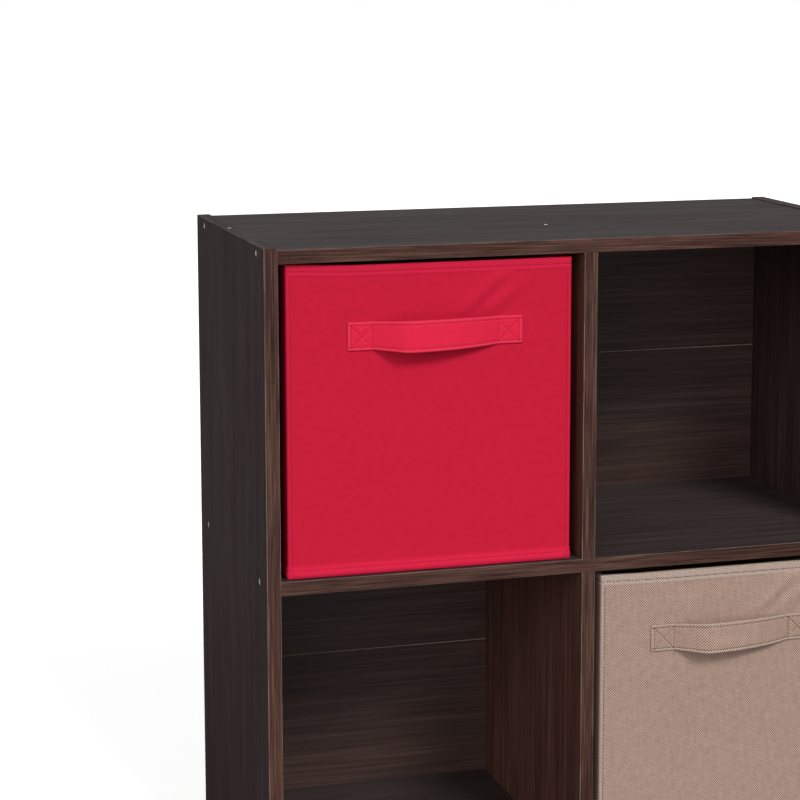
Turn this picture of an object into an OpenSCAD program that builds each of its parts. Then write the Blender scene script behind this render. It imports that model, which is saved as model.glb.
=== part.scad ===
// Cube storage unit: a two by two carcass of laminated board with two fabric drawers.
// Origin at the middle of the underside, +Z up, front towards -Y. Millimetres.

/* [Carcass] */
// Thickness of every board
board_t = 12.7; // [11:0.1:19]
// Clear width of one cube
cube_w = 286.9; // [275:0.1:360]
// Clear height of one cube
cube_h = 286.9; // [286:0.1:360]
// Depth of the side, top and bottom boards, edge band included
unit_d = 295; // [284:1:380]
// How far the sides stand above the top board
top_reveal = 1.4; // [0:0.1:4]
// Thickness of the edge band on every front edge and on the top ends of the sides
band_t = 0.5; // [0.3:0.1:1.5]
// Chamfer along the two arrises of an edge band
band_chamfer = 0.4; // [0.1:0.1:0.4]

/* [Back] */
// Thickness of the hardboard back
back_t = 3; // [2:0.1:5]
// From the rear edge of the sides to the rear face of the back
back_inset = 6; // [4:0.5:15]
// Depth of the groove that holds the edges of the back
groove_depth = 5; // [3:0.5:7]
// Clearance of the back in its groove, on each side
groove_gap = 0.2; // [0.1:0.05:0.5]
// Width of the open line where the back folds
fold_gap = 0.9; // [0.4:0.1:2]
// Width of the paper tape that hinges a fold
tape_w = 24; // [12:1:50]
// Thickness of that tape
tape_t = 0.25; // [0.1:0.05:0.5]

/* [Screws] */
// Diameter of a screw's shank
screw_d = 4.5; // [3.5:0.1:5.5]
// Diameter of a screw's countersunk head
screw_head_d = 8; // [7:0.1:9.5]
// Length of a screw
screw_len = 40; // [30:1:50]
// How far a head lies below the surface
screw_sink = 0.6; // [0:0.1:1.5]
// From the front and rear edges of a side to its screws
screw_edge = 33; // [20:1:60]
// From mid depth to the screw that holds a divider, towards the front
divider_screw_y = 23.5; // [0:0.5:60]
// From mid depth to the screw in the top end of a side, towards the rear
end_screw_y = 24.5; // [0:0.5:60]
// Radial clearance of a screw or dowel in its hole
hole_gap = 0.05; // [0.02:0.01:0.2]

/* [Dowels] */
// Diameter of a beech dowel
dowel_d = 6; // [5:0.5:8]
// Length of a dowel at the end of a board
dowel_len = 25; // [20:1:35]
// How deep a dowel sits in the face of a board
dowel_face_depth = 8; // [6:0.5:9]
// Length of a dowel that passes through the shelf into both dividers
through_dowel_len = 45; // [35:1:60]
// From mid depth to the dowels of a divider
divider_dowel_y = 90; // [70:1:110]

/* [Nails] */
// Diameter of a nail's shank
nail_d = 1.5; // [1.2:0.1:2]
// Diameter of a nail's head
nail_head_d = 4; // [3:0.1:6]
// Length of a nail under its head
nail_len = 17; // [12:1:25]
// Thickness of a nail's head
nail_head_t = 0.6; // [0.4:0.1:1]

/* [Fabric drawer] */
// Outer width of a drawer
drawer_w = 268; // [220:1:272]
// Outer height of a drawer
drawer_h = 283; // [220:0.5:284]
// Outer depth of a drawer, without its handle
drawer_d = 267; // [220:1:270]
// From the front of the carcass to the front of a drawer
drawer_recess = 6; // [2:0.5:15]
// How far the upper drawer sits left of the middle of its cube
upper_drawer_shift = 1.2; // [0:0.1:3]
// How far the lower drawer sits left of the middle of its cube
lower_drawer_shift = 0.5; // [0:0.1:3]
// Thickness of the fabric of the walls and of the bottom
fabric_t = 0.9; // [0.5:0.1:1.5]
// Thickness of a stiffening board in a wall
stiffener_t = 2.2; // [1.5:0.1:3.5]
// Clearance of a stiffening board in its sewn pocket
pocket_gap = 0.1; // [0.05:0.05:0.3]
// Width of the sewn corner between two pockets
corner_seam = 5; // [4:0.5:10]
// Radius of a drawer's upright corners
corner_r = 3; // [1:0.5:5]
// Height of the folded hem above the stiffening boards
hem_h = 3; // [2:0.5:8]
// Thickness of the loose base board
base_t = 3.5; // [2.5:0.1:5]
// Clearance round the loose base board
base_gap = 1.5; // [0.5:0.1:3]

/* [Handle] */
// Length of the strap from end to end, seen from the front
handle_len = 165; // [140:1:200]
// Height of the strap
handle_h = 26; // [20:1:40]
// Thickness of the strap
handle_t = 1.8; // [1.2:0.1:2.5]
// Length of each sewn end
handle_patch = 24.5; // [15:0.5:30]
// Gap behind the strap where it stands out most
handle_bow = 22; // [12:0.5:28]
// From the drawer's rim to the top of the strap
handle_drop = 52.5; // [30:0.5:80]
// From the middle of the upper drawer to the middle of its strap
upper_handle_shift = 4; // [-8:0.1:8]
// From the middle of the lower drawer to the middle of its strap
lower_handle_shift = -1.3; // [-8:0.1:8]

/* [Hidden] */
$fn = 48;

face_colour = "#362d2e";
edge_colour = "#5c443b";
back_colour = "#3c2f2d";
steel = "#b9b9b6";
beech = "#c9a878";
paper = "#b59a72";
red = "#c81e3c";
tan = "#b29886";
card = "#a58a68";

// Everything a cut passes through by, so that no skin is left
over = 1;

// Levels of the carcass, from the floor up
pitch_w = cube_w + board_t;
pitch_h = cube_h + board_t;
unit_w = 2 * pitch_w + board_t;
shelf_z = pitch_h;
top_z = 2 * pitch_h;
side_h = top_z + board_t + top_reveal;
inner_w = unit_w - 2 * board_t;
front_y = -unit_d / 2;
rear_y = unit_d / 2;
core_y = front_y + band_t;
back_rear_y = rear_y - back_inset;
back_front_y = back_rear_y - back_t;
side_screw_y = unit_d / 2 - screw_edge;
end_dowel_depth = dowel_len - dowel_face_depth;

// The three boards of the back meet half way up each cube
lower_fold_z = board_t + cube_h / 2;
upper_fold_z = lower_fold_z + pitch_h;
back_foot_z = board_t - groove_depth + groove_gap;
back_head_z = top_z + groove_depth - groove_gap;
back_w = inner_w + 2 * (groove_depth - groove_gap);

// The sewn wall of a drawer, and where the two drawers stand
wall_t = 2 * fabric_t + stiffener_t + 2 * pocket_gap;
drawer_y = front_y + drawer_recess;
upper_drawer_pos = [-pitch_w / 2 - upper_drawer_shift, drawer_y, shelf_z + board_t];
lower_drawer_pos = [pitch_w / 2 - lower_drawer_shift, drawer_y, board_t];

// ---------- boards ----------

// A box given by its lowest and highest corners
module block(low, high) {
    translate(low) cube(high - low);
}

// A screw's hole: clearance for the shank and a recess for the head, along +Z into the surface at z = 0
module screw_hole() {
    translate([0, 0, -over]) cylinder(d = screw_d + 2 * hole_gap, h = screw_len + screw_sink + over);
    translate([0, 0, -over]) cylinder(d = screw_head_d + 2 * hole_gap, h = screw_sink + over);
    translate([0, 0, screw_sink])
        cylinder(d1 = screw_head_d + 2 * hole_gap, d2 = screw_d + 2 * hole_gap, h = (screw_head_d - screw_d) / 2);
}

// A countersunk screw with a cross recess, its axis along +Z from the surface at z = 0
module screw() {
    cone_h = (screw_head_d - screw_d) / 2;
    tip_h = 4;
    translate([0, 0, screw_sink]) difference() {
        union() {
            cylinder(d1 = screw_head_d, d2 = screw_d, h = cone_h);
            cylinder(d = screw_d, h = screw_len - tip_h);
            translate([0, 0, screw_len - tip_h]) cylinder(d1 = screw_d, d2 = 1, h = tip_h);
        }
        for (turn = [0, 90]) rotate([0, 0, turn])
            translate([-screw_head_d * 0.29, -0.5, -over]) cube([screw_head_d * 0.58, 1, over + cone_h * 0.7]);
    }
}

// Puts its children at both screws of a side, at each of the three horizontal boards, pointing inwards
module at_side_screws(side, levels = [0, shelf_z, top_z]) {
    for (z = levels, y = [-side_screw_y, side_screw_y])
        translate([side * unit_w / 2, y, z + board_t / 2]) rotate([0, -side * 90, 0]) children();
}

// Puts its children in the top end of a side, pointing down
module at_end_screw(side) {
    translate([side * (unit_w - board_t) / 2, end_screw_y, side_h]) mirror([0, 0, 1]) children();
}

// Puts its children over or under the middle of the unit, pointing into the divider
module at_divider_screw(upper) {
    if (upper) translate([0, -divider_screw_y, top_z + board_t]) mirror([0, 0, 1]) children();
    else translate([0, -divider_screw_y, 0]) children();
}

// A dowel hole or dowel along +X, from x = -depth_out to x = depth_in
module round_bar(d, depth_out, depth_in) {
    translate([-depth_out, 0, 0]) rotate([0, 90, 0]) cylinder(d = d, h = depth_out + depth_in);
}

// The dowels between the ends of a horizontal board and the sides, at mid depth
module side_dowel_bars(gap, levels) {
    for (side = [-1, 1], z = levels)
        translate([side * inner_w / 2, 0, z + board_t / 2]) mirror([side > 0 ? 1 : 0, 0, 0])
            round_bar(dowel_d + 2 * gap, dowel_face_depth, end_dowel_depth);
}

// The dowels in the upper end of the upper divider and the lower end of the lower one
module divider_dowel_bars(gap) {
    for (y = [-divider_dowel_y, divider_dowel_y]) {
        translate([0, y, top_z - end_dowel_depth]) cylinder(d = dowel_d + 2 * gap, h = dowel_len);
        translate([0, y, board_t - dowel_face_depth]) cylinder(d = dowel_d + 2 * gap, h = dowel_len);
    }
}

// The dowels that pass through the shelf
module through_dowel_bars(gap) {
    for (y = [-divider_dowel_y, divider_dowel_y])
        translate([0, y, shelf_z + board_t / 2]) cylinder(d = dowel_d + 2 * gap, h = through_dowel_len, center = true);
}

// Groove for the back, cut down the inner face of a side
module side_groove(side) {
    inside_x = side * inner_w / 2;
    far_x = inside_x + side * groove_depth;
    block([min(inside_x, far_x) - (side > 0 ? over : 0), back_front_y - groove_gap, board_t - groove_depth],
          [max(inside_x, far_x) + (side > 0 ? 0 : over), back_rear_y + groove_gap, top_z + groove_depth]);
}

// One upright side of the carcass
module side_board(side) {
    x = side * unit_w / 2;
    color(face_colour) difference() {
        block([min(x, x - side * board_t), core_y, 0], [max(x, x - side * board_t), rear_y, side_h - band_t]);
        side_groove(side);
        at_side_screws(side) screw_hole();
        side_dowel_bars(hole_gap, [0, shelf_z, top_z]);
        at_end_screw(side) screw_hole();
    }
}

// A board between the sides, from its lower face at z
module level_board(z, far_y) {
    difference() {
        block([-inner_w / 2, core_y, z], [inner_w / 2, far_y, z + board_t]);
        for (side = [-1, 1]) at_side_screws(side, [z]) screw_hole();
        side_dowel_bars(hole_gap, [z]);
    }
}

module left_side() side_board(-1);

module right_side() side_board(1);

module top_panel() {
    color(face_colour) difference() {
        level_board(top_z, rear_y);
        block([-inner_w / 2 - over, back_front_y - groove_gap, top_z - over],
              [inner_w / 2 + over, back_rear_y + groove_gap, top_z + groove_depth]);
        at_divider_screw(true) screw_hole();
        divider_dowel_bars(hole_gap);
    }
}

module bottom_panel() {
    color(face_colour) difference() {
        level_board(0, rear_y);
        block([-inner_w / 2 - over, back_front_y - groove_gap, board_t - groove_depth],
              [inner_w / 2 + over, back_rear_y + groove_gap, board_t + over]);
        at_divider_screw(false) screw_hole();
        divider_dowel_bars(hole_gap);
    }
}

module centre_shelf() {
    color(face_colour) difference() {
        level_board(shelf_z, back_front_y);
        through_dowel_bars(hole_gap);
        nail_bars();
    }
}

// An upright board between two horizontal ones, from its lower end at z
module divider_board(z) {
    color(face_colour) difference() {
        block([-board_t / 2, core_y, z], [board_t / 2, back_front_y, z + cube_h]);
        for (upper = [true, false]) at_divider_screw(upper) screw_hole();
        divider_dowel_bars(hole_gap);
        through_dowel_bars(hole_gap);
        nail_bars();
    }
}

module upper_divider() divider_board(shelf_z + board_t);

module lower_divider() divider_board(board_t);

// ---------- edge bands ----------

// A strip board_t wide and band_t thick with eased arrises, standing along +Z from the origin
module band(length) {
    half = board_t / 2;
    ease = min(band_chamfer, band_t * 0.8);
    linear_extrude(length)
        polygon([[-half, 0], [half, 0], [half, ease - band_t], [half - ease, -band_t],
                 [ease - half, -band_t], [-half, ease - band_t]]);
}

module upright_band(x, z, length) {
    color(edge_colour) translate([x, core_y, z]) band(length);
}

module level_band(z) {
    color(edge_colour) translate([-inner_w / 2, core_y, z + board_t / 2]) rotate([0, 90, 0]) band(inner_w);
}

// The strip on the top end of a side, behind its front band
module end_band(side) {
    color(edge_colour) difference() {
        translate([side * (unit_w - board_t) / 2, core_y, side_h - band_t]) rotate([-90, 0, 0])
            band(unit_d - band_t);
        at_end_screw(side) screw_hole();
    }
}

module left_side_edge_band() upright_band(-(unit_w - board_t) / 2, 0, side_h);

module right_side_edge_band() upright_band((unit_w - board_t) / 2, 0, side_h);

module top_edge_band() level_band(top_z);

module bottom_edge_band() level_band(0);

module shelf_edge_band() level_band(shelf_z);

module upper_divider_edge_band() upright_band(0, shelf_z + board_t, cube_h);

module lower_divider_edge_band() upright_band(0, board_t, cube_h);

module left_side_end_band() end_band(-1);

module right_side_end_band() end_band(1);

// ---------- back ----------

// Nails through the back into the rear edges of the shelf and the dividers
module at_back_nails() {
    for (x = [-pitch_w * 0.8, -pitch_w * 0.5, -pitch_w * 0.2, pitch_w * 0.2, pitch_w * 0.5, pitch_w * 0.8])
        translate([x, back_rear_y, shelf_z + board_t / 2]) rotate([90, 0, 0]) children();
    for (z = [board_t, shelf_z + board_t], share = [0.15, 0.85])
        translate([0, back_rear_y, z + cube_h * share]) rotate([90, 0, 0]) children();
}

module nail_bars() {
    at_back_nails() translate([0, 0, -over]) cylinder(d = nail_d, h = nail_len + over);
}

module back_board(low_z, high_z) {
    color(back_colour) difference() {
        block([-back_w / 2, back_front_y, low_z], [back_w / 2, back_rear_y, high_z]);
        nail_bars();
    }
}

module back_upper() back_board(upper_fold_z + fold_gap / 2, back_head_z);

module back_middle() back_board(lower_fold_z + fold_gap / 2, upper_fold_z - fold_gap / 2);

module back_lower() back_board(back_foot_z, lower_fold_z - fold_gap / 2);

module back_fold_tapes() {
    color(paper) for (z = [lower_fold_z, upper_fold_z])
        block([-inner_w / 2, back_rear_y, z - tape_w / 2], [inner_w / 2, back_rear_y + tape_t, z + tape_w / 2]);
}

module back_nails() {
    color(steel) at_back_nails() {
        cylinder(d = nail_d, h = nail_len);
        translate([0, 0, -nail_head_t]) cylinder(d = nail_head_d, h = nail_head_t);
    }
}

// ---------- fasteners ----------

module side_screws() {
    color(steel) for (side = [-1, 1]) at_side_screws(side) screw();
}

module divider_screws() {
    color(steel) for (upper = [true, false]) at_divider_screw(upper) screw();
}

module side_end_screws() {
    color(steel) for (side = [-1, 1]) at_end_screw(side) screw();
}

module side_dowels() {
    color(beech) side_dowel_bars(0, [0, shelf_z, top_z]);
}

module divider_dowels() {
    color(beech) divider_dowel_bars(0);
}

module through_dowels() {
    color(beech) through_dowel_bars(0);
}

// ---------- fabric drawers ----------
// Each is drawn with the middle of its front lower edge at the origin, its depth along +Y.

// An upright prism over the drawer's plan, drawn in by inset on every side
module drawer_prism(inset, low_z, high_z) {
    r = corner_r - min(inset, corner_r - 0.5);
    x = drawer_w / 2 - inset - r;
    near = inset + r;
    far = drawer_d - inset - r;
    translate([0, 0, low_z]) linear_extrude(high_z - low_z) union() {
        translate([-x - r, near]) square([2 * (x + r), far - near]);
        translate([-x, near - r]) square([2 * x, far - near + 2 * r]);
        for (cx = [-x, x], cy = [near, far]) translate([cx, cy]) circle(r);
    }
}

// A stiffening board, or with gap the pocket it slides into. The walls are front, rear, left and right.
module stiffener(wall, gap = 0) {
    inset = fabric_t + pocket_gap - gap;
    thick = stiffener_t + 2 * gap;
    across = drawer_w / 2 - corner_seam + gap;
    near = corner_seam - gap;
    far = drawer_d - corner_seam + gap;
    low_z = gap > 0 ? fabric_t - over : fabric_t;
    high_z = drawer_h - hem_h + gap;
    if (wall == "front") block([-across, inset, low_z], [across, inset + thick, high_z]);
    if (wall == "rear") block([-across, drawer_d - inset - thick, low_z], [across, drawer_d - inset, high_z]);
    if (wall == "left") block([-drawer_w / 2 + inset, near, low_z], [-drawer_w / 2 + inset + thick, far, high_z]);
    if (wall == "right") block([drawer_w / 2 - inset - thick, near, low_z], [drawer_w / 2 - inset, far, high_z]);
}

module drawer_cover(colour) {
    color(colour) difference() {
        drawer_prism(0, fabric_t, drawer_h);
        drawer_prism(wall_t, 0, drawer_h + over);
        for (wall = ["front", "rear", "left", "right"]) stiffener(wall, pocket_gap);
    }
}

module drawer_bottom(colour) {
    color(colour) drawer_prism(0, 0, fabric_t);
}

module drawer_base_board(colour) {
    inset = wall_t + base_gap;
    color(colour)
        block([-drawer_w / 2 + inset, inset, fabric_t], [drawer_w / 2 - inset, drawer_d - inset, fabric_t + base_t]);
}

// The strap seen from above: two sewn ends flat on the drawer and an arc between them
module handle_outline() {
    half_free = handle_len / 2 - handle_patch;
    bow_r = (half_free * half_free + handle_bow * handle_bow) / (2 * handle_bow);
    far = handle_bow + handle_t;
    for (side = [0, 1]) mirror([side, 0]) translate([half_free, -handle_t]) square([handle_patch, handle_t]);
    intersection() {
        translate([0, bow_r - handle_bow]) difference() {
            circle(r = bow_r + handle_t);
            circle(r = bow_r);
        }
        translate([-handle_len / 2, -far - over]) square([handle_len, far + over]);
    }
}

module drawer_handle(colour, shift) {
    color(colour) translate([shift, 0, drawer_h - handle_drop - handle_h])
        linear_extrude(handle_h) handle_outline();
}

// One part of a drawer by its name
module drawer_part(part, colour, handle_shift) {
    if (part == "cover") drawer_cover(colour);
    if (part == "bottom") drawer_bottom(colour);
    if (part == "handle") drawer_handle(colour, handle_shift);
    if (part == "base_board") drawer_base_board(colour);
    for (wall = ["front", "rear", "left", "right"])
        if (part == str(wall, "_stiffener")) color(card) stiffener(wall);
}

module red_drawer(part) translate(upper_drawer_pos) drawer_part(part, red, upper_handle_shift);

module tan_drawer(part) translate(lower_drawer_pos) drawer_part(part, tan, lower_handle_shift);

// ---------- nodes ----------

left_side();
right_side();
top_panel();
bottom_panel();
centre_shelf();
upper_divider();
lower_divider();
left_side_edge_band();
right_side_edge_band();
top_edge_band();
bottom_edge_band();
shelf_edge_band();
upper_divider_edge_band();
lower_divider_edge_band();
left_side_end_band();
right_side_end_band();
back_upper();
back_middle();
back_lower();
back_fold_tapes();
back_nails();
side_screws();
divider_screws();
side_end_screws();
side_dowels();
divider_dowels();
through_dowels();
red_drawer("cover");  // red_drawer_cover
red_drawer("bottom");  // red_drawer_bottom
red_drawer("handle");  // red_drawer_handle
red_drawer("front_stiffener");  // red_drawer_front_stiffener
red_drawer("rear_stiffener");  // red_drawer_rear_stiffener
red_drawer("left_stiffener");  // red_drawer_left_stiffener
red_drawer("right_stiffener");  // red_drawer_right_stiffener
red_drawer("base_board");  // red_drawer_base_board
tan_drawer("cover");  // tan_drawer_cover
tan_drawer("bottom");  // tan_drawer_bottom
tan_drawer("handle");  // tan_drawer_handle
tan_drawer("front_stiffener");  // tan_drawer_front_stiffener
tan_drawer("rear_stiffener");  // tan_drawer_rear_stiffener
tan_drawer("left_stiffener");  // tan_drawer_left_stiffener
tan_drawer("right_stiffener");  // tan_drawer_right_stiffener
tan_drawer("base_board");  // tan_drawer_base_board
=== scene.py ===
"""Cube storage unit: a laminated board carcass with two sewn fabric drawers, around its CAD frame."""

import math

import bmesh
import bpy
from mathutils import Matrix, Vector, noise


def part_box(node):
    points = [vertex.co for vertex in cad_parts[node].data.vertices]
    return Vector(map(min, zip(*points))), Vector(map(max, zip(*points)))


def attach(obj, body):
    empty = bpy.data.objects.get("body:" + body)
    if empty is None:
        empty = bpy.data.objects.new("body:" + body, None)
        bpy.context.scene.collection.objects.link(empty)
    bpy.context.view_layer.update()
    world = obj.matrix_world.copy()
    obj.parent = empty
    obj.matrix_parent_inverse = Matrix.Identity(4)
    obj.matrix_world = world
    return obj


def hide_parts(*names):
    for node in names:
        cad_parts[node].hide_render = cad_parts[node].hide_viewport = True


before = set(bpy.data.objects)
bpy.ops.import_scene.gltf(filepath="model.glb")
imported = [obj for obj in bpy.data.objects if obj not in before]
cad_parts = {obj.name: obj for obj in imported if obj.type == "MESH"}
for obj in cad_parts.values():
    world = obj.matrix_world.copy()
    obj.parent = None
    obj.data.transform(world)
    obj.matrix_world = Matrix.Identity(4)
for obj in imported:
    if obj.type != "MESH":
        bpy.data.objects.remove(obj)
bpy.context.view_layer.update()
MM = 0.001

# ---------- Camera ----------
# The camera stands to the left of the unit and a little above it, and looks slightly down.

CAMERA_PLACE = Vector((-764, -2161, 865.5)) * MM
CAMERA_YAW = math.radians(17)
CAMERA_PITCH = math.radians(8.5)
LENS_MM = 106.8
SENSOR_MM = 36
LENS_SHIFT = (-0.045, -0.11)

camera_data = bpy.data.cameras.new("camera")
camera_data.lens = LENS_MM
camera_data.sensor_width = SENSOR_MM
camera_data.shift_x, camera_data.shift_y = LENS_SHIFT


def stand(name, data):
    """Puts a new object with this data in the scene, at the origin."""
    made = bpy.data.objects.new(name, data)
    bpy.context.collection.objects.link(made)
    return made


def shaped(name, points, faces, edges=()):
    """Puts a new mesh in the scene, at the origin."""
    mesh = bpy.data.meshes.new(name)
    mesh.from_pydata(points, edges, faces)
    return stand(name, mesh)


camera = stand("camera", camera_data)
camera.location = CAMERA_PLACE
camera.rotation_mode = "QUATERNION"
sight = Vector((
    math.sin(CAMERA_YAW) * math.cos(CAMERA_PITCH),
    math.cos(CAMERA_YAW) * math.cos(CAMERA_PITCH),
    -math.sin(CAMERA_PITCH),
))
camera.rotation_quaternion = sight.to_track_quat("-Z", "Y")
bpy.context.scene.camera = camera

# ---------- Studio ----------
# A soft box on the right, a wide weak one on the left, a low strip in front and a pale room. The floor is a
# matt white sheet, lit a little from within. Only the viewer sees it so white: it lights the unit as a
# greyer floor would, as if dark cards stood round it, so that the sides don't shine.

BOUNCE_SIZE = (1.8, 0.3)
BOUNCE_POWER = 3.2
BOUNCE_PLACE = (-0.2, -1.25, 0.1)
BOUNCE_BACK = Vector((-0.05, -1.0, -0.25))
ROOM_LEVEL = 0.22
FLOOR_HALF = 40
FLOOR_GLOW = 0.66
FLOOR_COLOURS = ("#6c6c6c", "#f6f6f6")


def linear(hex_colour):
    """An sRGB hex colour as linear red, green, blue and alpha."""
    parts = [int(hex_colour[i : i + 2], 16) / 255 for i in (1, 3, 5)]
    return tuple(c / 12.92 if c <= 0.04045 else ((c + 0.055) / 1.055) ** 2.4 for c in parts) + (1.0,)


def add(tree, kind, inputs=None, **settings):
    """Adds one node, with its settings and with values or links for its inputs."""
    made = tree.nodes.new(kind)
    for name, value in settings.items():
        setattr(made, name, value)
    for key, value in (inputs or {}).items():
        if isinstance(value, bpy.types.NodeSocket):
            tree.links.new(value, made.inputs[key])
        else:
            made.inputs[key].default_value = value
    return made


def value_of(tree, kind, inputs=None, output=0, **settings):
    """Adds one node and gives its output, which is the first one unless another is named."""
    return add(tree, kind, inputs, **settings).outputs[output]


def distant_lamp(name, azimuth, elevation, spread, strength):
    """A far soft box. Azimuth 0 is in front of the unit and grows to its right. All in degrees."""
    data = bpy.data.lights.new(name, "SUN")
    data.angle = math.radians(spread)
    data.energy = strength
    lamp = stand(name, data)
    turn, lift = math.radians(azimuth), math.radians(elevation)
    towards = Vector((math.sin(turn) * math.cos(lift), -math.cos(turn) * math.cos(lift), math.sin(lift)))
    lamp.rotation_euler = towards.to_track_quat("Z", "Y").to_euler()


distant_lamp("key", 16, 38, 16, 2.35)
distant_lamp("low_fill", -35, 20, 40, 1.35)

bounce_data = bpy.data.lights.new("floor_bounce", "AREA")
bounce_data.shape = "RECTANGLE"
bounce_data.size, bounce_data.size_y = BOUNCE_SIZE
bounce_data.energy = BOUNCE_POWER
bounce = stand("floor_bounce", bounce_data)
bounce.location = BOUNCE_PLACE
bounce.rotation_euler = BOUNCE_BACK.to_track_quat("Z", "Y").to_euler()

room = bpy.data.worlds.new("room")
room.use_nodes = True
room.node_tree.nodes.clear()
seen = value_of(room.node_tree, "ShaderNodeLightPath")
level = value_of(room.node_tree, "ShaderNodeMapRange", {"Value": seen, "To Min": ROOM_LEVEL, "To Max": 1.0})
glow = value_of(room.node_tree, "ShaderNodeBackground", {"Color": linear("#ffffff"), "Strength": level})
add(room.node_tree, "ShaderNodeOutputWorld", {"Surface": glow})
bpy.context.scene.world = room
bpy.context.scene.view_settings.view_transform = "Standard"

far = FLOOR_HALF
floor = shaped("floor", [(-far, -far, 0), (far, -far, 0), (far, far, 0), (-far, far, 0)], [(0, 1, 2, 3)])


def new_material(name):
    """An empty material, for the sections below to fill."""
    material = bpy.data.materials.new(name)
    material.use_nodes = True
    material.node_tree.nodes.clear()
    return material, material.node_tree


def finish_surface(material, colour, roughness, **others):
    """Ends a material: a principled surface, with values or links for its own sockets."""
    tree = material.node_tree
    inputs = {"Base Color": colour, "Roughness": roughness}
    inputs |= {key.replace("_", " "): value for key, value in others.items()}
    surface = value_of(tree, "ShaderNodeBsdfPrincipled", inputs)
    add(tree, "ShaderNodeOutputMaterial", {"Surface": surface})
    return material


floor_paint, floor_tree = new_material("matt_white_sheet")
seen = value_of(floor_tree, "ShaderNodeLightPath")
shades = {0: seen, 6: linear(FLOOR_COLOURS[0]), 7: linear(FLOOR_COLOURS[1])}
paper = value_of(floor_tree, "ShaderNodeMix", shades, 2, data_type="RGBA")
own_light = value_of(floor_tree, "ShaderNodeMath", {0: seen, 1: FLOOR_GLOW}, operation="MULTIPLY")
finish_surface(floor_paint, paper, 0.9, Emission_Color=linear("#ffffff"), Emission_Strength=own_light)
floor.data.materials.append(floor_paint)

# ---------- Laminated boards ----------
# Particle board faced with melamine paper in a dark walnut print. The print has long streaks and short
# pores that run one way along each board. The rear and floor edges are left raw and show pressed chips.

STREAK_STRETCH = 24
FIGURE_MM = 15
STREAK_MM = 2.6
PORE_MM = 1.4
CHIP_MM = 3.2
PORE_DEPTH_MM = 0.05
SKIN_MM = 0.1
GRAIN_AXES = {"X": 0, "Y": 1, "Z": 2}
BOARD_CONTRAST = 0.17


def place_in(tree, axis=None):
    """Object coordinates, or one of them."""
    place = value_of(tree, "ShaderNodeTexCoord", output="Object")
    return value_of(tree, "ShaderNodeSeparateXYZ", {"Vector": place}, axis) if axis else place


def stretched(tree, grain, factor):
    """Object coordinates squeezed along the grain, so that any noise read from them becomes streaks."""
    scale = [1.0, 1.0, 1.0]
    scale[GRAIN_AXES[grain]] = 1 / factor
    return value_of(tree, "ShaderNodeMapping", {"Vector": place_in(tree), "Scale": scale})


def cloud(tree, vector, size_mm, detail, distortion=0.0):
    """Noise whose lumps are about size_mm across."""
    return value_of(tree, "ShaderNodeTexNoise", {
        "Vector": vector, "Scale": 1 / (size_mm * MM), "Detail": detail, "Distortion": distortion,
    })


def ramp(tree, value, *stops):
    """A colour ramp. Each stop is a position and a hex colour."""
    made = add(tree, "ShaderNodeValToRGB", {"Fac": value})
    band = made.color_ramp
    while len(band.elements) < len(stops):
        band.elements.new(0.5)
    for element, (position, colour) in zip(band.elements, stops):
        element.position = position
        element.color = linear(colour)
    return made.outputs["Color"]


def steps(tree, value, low, high, to_low=0.0, to_high=1.0):
    """Maps low..high smoothly to to_low..to_high, and holds the ends."""
    return value_of(tree, "ShaderNodeMapRange", {
        "Value": value, "From Min": low, "From Max": high, "To Min": to_low, "To Max": to_high,
    }, interpolation_type="SMOOTHSTEP")


def blend_colour(tree, share, first, second):
    """Mixes two colours."""
    return value_of(tree, "ShaderNodeMix", {0: share, 6: first, 7: second}, 2, data_type="RGBA")


def sum_of(tree, kind, first, second):
    """One sum on two numbers."""
    return value_of(tree, "ShaderNodeMath", {0: first, 1: second}, operation=kind)


def times(tree, first, second):
    """The product of two numbers."""
    return sum_of(tree, "MULTIPLY", first, second)


def mean_of(tree, first, second, share):
    """Two numbers mixed: share of the first and the rest of the second."""
    return sum_of(tree, "ADD", times(tree, first, share), times(tree, second, 1 - share))


def bumped(tree, height, strength, depth_mm):
    """The normal of a surface whose height rises and falls by depth_mm."""
    inputs = {"Height": height, "Strength": strength, "Distance": depth_mm * MM}
    return value_of(tree, "ShaderNodeBump", inputs)


def wood_print(tree, grain, tones, contrast, pore_share, pore_colour, streak_mm=STREAK_MM):
    """The printed grain: a slow figure, finer streaks and dark pores. Gives its colour and pore mask."""
    deep, middle, light = tones
    figure = cloud(tree, stretched(tree, grain, STREAK_STRETCH * 0.5), FIGURE_MM, 4.0, 0.8)
    streaks = cloud(tree, stretched(tree, grain, STREAK_STRETCH * 2.4), streak_mm, 4.0, 0.1)
    mixed = mean_of(tree, figure, streaks, 0.3)
    tone = ramp(tree, mixed, (0.5 - contrast, deep), (0.5, middle), (0.5 + contrast, light))
    pores = steps(tree, cloud(tree, stretched(tree, grain, STREAK_STRETCH * 0.8), PORE_MM, 2.0), 0.60, 0.70)
    inked = blend_colour(tree, times(tree, pores, pore_share), tone, linear(pore_colour))
    return inked, pores


def chip_core(tree):
    """Pressed wood chips, as the raw edge of particle board shows them."""
    chips = value_of(tree, "ShaderNodeTexVoronoi", {"Vector": place_in(tree), "Scale": 1 / (CHIP_MM * MM)})
    return ramp(tree, chips, (0.0, "#b08a5c"), (0.45, "#9a7448"), (0.8, "#6d4f31"))


def raw_edges(tree):
    """1 on the raw rear edge and on the raw underside, else 0."""
    low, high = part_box("left_side")
    rear = sum_of(tree, "GREATER_THAN", place_in(tree, "Y"), high[1] - SKIN_MM * MM)
    under = sum_of(tree, "LESS_THAN", place_in(tree, "Z"), low[2] + SKIN_MM * MM)
    return sum_of(tree, "MAXIMUM", rear, under)


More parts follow.
